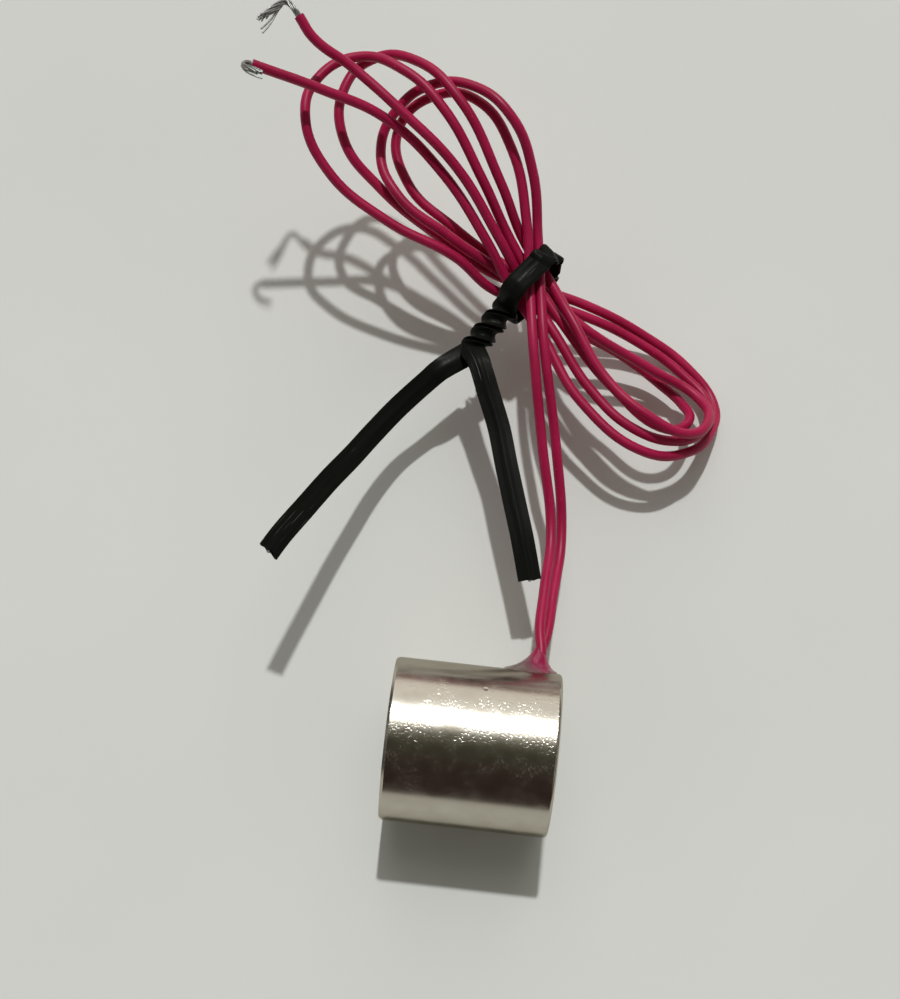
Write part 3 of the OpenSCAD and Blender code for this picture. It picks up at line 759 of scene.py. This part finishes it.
# %% Finish of the resin
def potting_epoxy():
    finish, tree, shader, place = new_finish(
        "potting_epoxy", IOR=1.55, Roughness=0.16, Subsurface_Weight=0.2,
        Subsurface_Radius=(1.0, 0.5, 0.45), Subsurface_Scale=0.6 * MM)
    cloud_size, upright = 0.8 * MM, 0.55
    from_lead = add(tree, "ShaderNodeMapping", {
        "Vector": place, "Location": (-exit_x * MM, 0, -axis_z * upright), "Scale": (1, 0, upright)})
    away = add(tree, "ShaderNodeVectorMath", {0: from_lead}, operation="LENGTH").outputs["Value"]
    clouds = add(tree, "ShaderNodeTexNoise", {"Vector": place, "Scale": 1 / cloud_size, "Detail": 2.0})
    drift = add(tree, "ShaderNodeMapRange", {"Value": clouds, "To Min": -0.5 * MM, "To Max": 0.5 * MM})
    far = add(tree, "ShaderNodeMath", {0: away, 1: drift})
    share = add(tree, "ShaderNodeMapRange", {"Value": far, "From Min": 0.4 * MM, "From Max": 3.1 * MM})
    colour = add(tree, "ShaderNodeValToRGB", {"Fac": share}, stops=[
        (0.0, "#9c1142"), (0.35, "#94284e"), (0.6, "#775054"), (1.0, "#71655c")])
    bump = add(tree, "ShaderNodeBump", {"Height": clouds, "Strength": 0.2, "Distance": 0.05 * MM})
    feed(tree, shader, {"Base Color": colour, "Normal": bump})
    return finish


finishes["potting_epoxy"] = potting_epoxy()
print("finish: potting_epoxy")

# %% Where the resin ran
cup_mm = cup_r / MM
axis_mm = axis_z / MM
foot_least, foot_run = 1.1, 2.5
foot_waves = ((0.16, 3, 0.5), (0.1, 7, 1))


def on_cup(x, z, lift):
    """A point of the cup's side, seen from the leads, lifted a little along the leads."""
    return Vector((x, math.sqrt(max(cup_mm ** 2 - (z - axis_mm) ** 2, 0)) + lift, z)) * MM


def round_leads(angle, margin):
    """The outline of the two leads together, with a margin, round the exit."""
    reach = lead_d / 2 + margin
    return reach * math.cos(angle), reach * math.sin(angle) + math.copysign(lead_pitch / 2, math.sin(angle))


def towards_face(angle):
    """One on the side of the pole face, nothing on the side of the back."""
    return (1 - math.cos(angle)) / 2


def foot_margin(angle):
    """How far the resin ran over the cup: most of it towards the pole face, little to the back."""
    ripple = sum(size * math.sin(waves * angle + start) for size, waves, start in foot_waves)
    return foot_least + foot_run * towards_face(angle) ** 3 + ripple


ran = [round(foot_margin(angle), 1) for angle in (math.pi, 0)]
print("the resin ran", ran[0], "mm towards the pole face and", ran[1], "mm towards the back")

# %% The bead at the leads
bead_sides, bead_steps, bead_top = 72, 14, 3.7
inner_rings = ((8.2, -0.02), (9.2, 0.1))
coat_least, coat_more = 0.3, 0.2
flank_hollow, coat_fade, top_margin = 1.8, 0.6, 0.015
edge_t, edge_start = 0.22, 0.07
top_tilt, tilt_start, climb_bend = 0.2, 2.6, 1.35
foot_sink, top_close = 0.03, 0.3


def bead_rings():
    """Two rings inside the cup, the flank from its foot up the leads, and one ring to close the top."""
    angles = [2 * math.pi * (k + 0.5) / bead_sides for k in range(bead_sides)]
    rings = []
    for y, margin in inner_rings:
        spokes = [round_leads(a, margin) for a in angles]
        rings.append([Vector((exit_x + x, y, axis_mm + z)) * MM for x, z in spokes])
    for i in range(bead_steps + 1):
        t = i / bead_steps
        ring = []
        for a in angles:
            coat = coat_least + coat_more * towards_face(a)
            spread = foot_margin(a) * (1 - t) ** flank_hollow + coat * (1 - t) ** coat_fade + top_margin
            x, z = round_leads(a, spread)
            edge = edge_t * (1 - t) ** 2 * min(t / edge_start, 1) ** 0.5
            tilt = 1 - top_tilt + top_tilt * math.cos(a + tilt_start)
            climb = bead_top * tilt * t ** climb_bend + edge
            ring.append(on_cup(exit_x + x, axis_mm + z, climb - foot_sink * (1 - t)))
        rings.append(ring)
    top = rings[-1]
    middle = sum(top, Vector()) / len(top)
    rings.append([point.lerp(middle, top_close) for point in top])
    return rings


bead = put("exit_bead", loft("exit_bead", bead_rings(), finishes["potting_epoxy"], crease=70))
print(bead.name, len(bead.data.polygons), "faces")

# %% [markdown]
# ## Finishes of what the cup holds
# The coil, its bobbin and its splices are closed in, but they are part of the model, and a reader
# who takes the cup off should find them finished. Each has one real trait: the winding shows its
# turns, the bobbin is moulded nylon, the tape is glossy film and the sleeves are matt.

# %% Inner finishes
def plain_finish(name, low, high, grain, rough, metallic=0.0):
    """A finish of two close tones mottled at a grain size in millimetres."""
    finish, tree, shader, place = new_finish(name, Metallic=metallic)
    mottle = add(tree, "ShaderNodeTexNoise", {"Vector": place, "Scale": 1 / (grain * MM), "Detail": 3.0})
    tone = add(tree, "ShaderNodeValToRGB", {"Fac": mottle}, stops=[(0.3, low), (0.7, high)])
    gloss = add(tree, "ShaderNodeMapRange", {
        "Value": mottle, "To Min": rough - 0.08, "To Max": rough + 0.08})
    feed(tree, shader, {"Base Color": tone, "Roughness": gloss})
    return finish


def enamelled_copper():
    finish = plain_finish("enamelled_copper", "#9c4a1e", "#b9652f", 0.6, 0.3, metallic=1.0)
    tree = finish.node_tree
    turn_pitch = 0.3 * MM
    place = add(tree, "ShaderNodeTexCoord").outputs["Object"]
    along = add(tree, "ShaderNodeSeparateXYZ", {"Vector": place})
    turns = add(tree, "ShaderNodeMath", {0: along, 1: 2 * math.pi / turn_pitch}, operation="MULTIPLY")
    crown = add(tree, "ShaderNodeMath", {0: turns}, operation="SINE")
    bump = add(tree, "ShaderNodeBump", {"Height": crown, "Strength": 0.6, "Distance": 0.05 * MM})
    feed(tree, tree.nodes["Principled BSDF"], {"Normal": bump})
    return finish


finishes["enamelled_copper"] = enamelled_copper()
finishes["bobbin_nylon"] = plain_finish("bobbin_nylon", "#d8d3c2", "#e6e2d4", 1.5, 0.5)
finishes["coil_tape_film"] = plain_finish("coil_tape_film", "#c4952a", "#d8b23c", 2.0, 0.22)
finishes["sleeve_black"] = plain_finish("sleeve_black", "#1c1c1f", "#2a2a2e", 0.5, 0.55)
for part in frame["record"]["subparts"]:
    solid = nodes[part["node"]]
    solid.data.materials.clear()
    solid.data.materials.append(finishes[part["material_slot"]])
print("finishes:", ", ".join(sorted(finishes)))

# %% [markdown]
# ## The thread in the back
# The magnet is screwed on by an M3 thread in its core. The solid has the plain hole, so the thread
# is a ridge laid in it: a spiral with a square section on its corner, half sunk in the wall, so that
# a three-cornered ridge shows. A graph with the pitch, the turns and the bore as inputs makes it,
# because the spiral follows a rule.

# %% Thread by geometry nodes
def thread_graph():
    tree, sizes, result = new_graph("thread_ridge", {
        "Turns": "Float", "Pitch": "Float", "Bore Radius": "Float", "Ridge": "Float", "Back": "Float",
        "Axis Height": "Float"})
    height = add(tree, "ShaderNodeMath", {0: sizes["Turns"], 1: sizes["Pitch"]}, operation="MULTIPLY")
    spiral = add(tree, "GeometryNodeCurveSpiral", {
        "Resolution": 40, "Rotations": sizes["Turns"], "Start Radius": sizes["Bore Radius"],
        "End Radius": sizes["Bore Radius"], "Height": height})
    level = add(tree, "GeometryNodeSetCurveNormal", {"Curve": spiral}, mode="Z_UP")
    section = add(tree, "GeometryNodeCurvePrimitiveCircle", {"Radius": sizes["Ridge"], "Resolution": 4})
    ridge = add(tree, "GeometryNodeCurveToMesh", {
        "Curve": level, "Profile Curve": section, "Fill Caps": True})
    deep_end = add(tree, "ShaderNodeMath", {0: sizes["Back"], 1: height}, operation="SUBTRACT")
    start = add(tree, "ShaderNodeCombineXYZ", {"X": deep_end, "Z": sizes["Axis Height"]})
    turned = add(tree, "GeometryNodeTransform", {
        "Geometry": ridge, "Translation": start, "Rotation": (0, math.pi / 2, 0)})
    whole = add(tree, "GeometryNodeRealizeInstances", {"Geometry": turned})
    plated = add(tree, "GeometryNodeSetMaterial", {
        "Geometry": whole, "Material": finishes["nickel_plate"]})
    feed(tree, result, {"Geometry": plated})
    return tree


thread_source = bpy.data.objects.new("thread_source", bpy.data.meshes.new("thread_source"))
bpy.context.scene.collection.objects.link(thread_source)
bore_r = frame["record"]["mounts"][0]["dims"]["r_mm"] * MM
thread_set_in = 0.45 * MM
thread = put("mount_thread", grown(thread_source, thread_graph(), {
    "Turns": 13.0, "Pitch": 0.5 * MM, "Bore Radius": bore_r, "Ridge": 0.22 * MM,
    "Back": cup_high.x - thread_set_in, "Axis Height": axis_z}))
print(thread.name, len(thread.data.polygons), "faces")

# %% [markdown]
# ## Floor and light
# The magnet lies on a plain pale sheet under one hard lamp from behind, with soft fill from all
# round. The cup is a mirror, so what the fill looks like matters as much as how bright it is: pale
# behind the object, dark overhead and towards the camera. The world gets its colour from the angle
# round the cup's axis, as a row of studio cards would give it. To both sides it is dark, with a pale
# strip along the floor and a soft grey card higher up.

# %% Floor
def pale_sheet():
    finish, tree, shader, place = new_finish("pale_sheet", Roughness=0.85)
    cloud_size = 60 * MM
    clouds = add(tree, "ShaderNodeTexNoise", {"Vector": place, "Scale": 1 / cloud_size, "Detail": 4.0})
    tone = add(tree, "ShaderNodeValToRGB", {"Fac": clouds}, stops=[(0.3, "#dfe0da"), (0.7, "#e3e4de")])
    feed(tree, shader, {"Base Color": tone})
    return finish


floor_half = 3.0
floor_corners = [(x * floor_half, y * floor_half, 0) for x, y in ((-1, -1), (1, -1), (1, 1), (-1, 1))]
floor_mesh = bpy.data.meshes.new("floor")
floor_mesh.from_pydata(floor_corners, [], [(0, 1, 2, 3)])
floor_mesh.materials.append(pale_sheet())
floor = bpy.data.objects.new("floor", floor_mesh)
bpy.context.scene.collection.objects.link(floor)
print("floor:", 2 * floor_half, "m square")

# %% Lamp
lamp_heading = Vector((0.0102, -0.4654, -0.8851))
lamp = bpy.data.objects.new("key_lamp", bpy.data.lights.new("key_lamp", "SUN"))
lamp.data.energy = 1.76
lamp.data.color = (0.98, 0.99, 1.0)
lamp.data.angle = math.radians(2.0)
lamp.rotation_mode = "QUATERNION"
lamp.rotation_quaternion = lamp_heading.to_track_quat("-Z", "Y")
bpy.context.scene.collection.objects.link(lamp)
print("lamp: a sun of strength", lamp.data.energy)

# %% World of studio cards
world = bpy.data.worlds.new("studio_cards")
world.use_nodes = True
bpy.context.scene.world = world
sky = world.node_tree
towards = add(sky, "ShaderNodeTexCoord").outputs["Generated"]
heading = add(sky, "ShaderNodeSeparateXYZ", {"Vector": towards}).outputs
lift = add(sky, "ShaderNodeMath", {0: heading["Z"], 1: heading["Y"]}, operation="ARCTAN2")
half_turns = add(sky, "ShaderNodeMath", {0: lift, 1: math.pi}, operation="DIVIDE")
cards = add(sky, "ShaderNodeValToRGB", {"Fac": half_turns}, stops=[
    (0.0, "#775d54"), (0.036, "#775d54"), (0.052, "#fffaf4"), (0.12, "#fbf8f3"), (0.25, "#f4f3ef"),
    (0.27, "#ffffff"), (0.38, "#ffffff"), (0.46, "#62634f"), (0.56, "#3f4036"), (0.75, "#362a27"),
    (1.0, "#362a27")])
sideways = add(sky, "ShaderNodeMath", {0: heading["X"]}, operation="ABSOLUTE")
beside = add(sky, "ShaderNodeMapRange", {
    "Value": sideways, "From Min": 0.25, "From Max": 0.45}, interpolation_type="SMOOTHSTEP")
walls = add(sky, "ShaderNodeValToRGB", {"Fac": heading["Z"]}, stops=[
    (0.06, "#c9c9c4"), (0.12, "#403f3d"), (0.40, "#403f3d"), (0.54, "#9c9b97"), (0.72, "#9c9b97"),
    (0.86, "#403f3d")])
room = add(sky, "ShaderNodeMix", {"Factor": beside, 6: cards, 7: walls}, data_type="RGBA")
feed(sky, sky.nodes["Background"], {"Color": room.outputs[2], "Strength": 1.1})
bpy.context.scene.view_settings.view_transform = "Standard"
print("world:", len(cards.color_ramp.elements), "tones of cards round the cup's axis")

# %% [markdown]
# ## Tie the pieces to the frame
# Last, the leads join the one body, and the solids of the frame that the new pieces stand in for are
# hidden. The magnet has no joint, so everything rides on one body.

# %% Frame calls
for letter, lead in leads.items():
    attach(lead, "root")
    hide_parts(f"lead_{letter}")
    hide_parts(f"lead_{letter}_bare_end")
for piece, node, slot in (
        (strip, "tie_strip", "tie_black"), (wire, "tie_wire", "tie_steel"),
        (bead, "exit_resin", "potting_epoxy")):
    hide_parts(node)
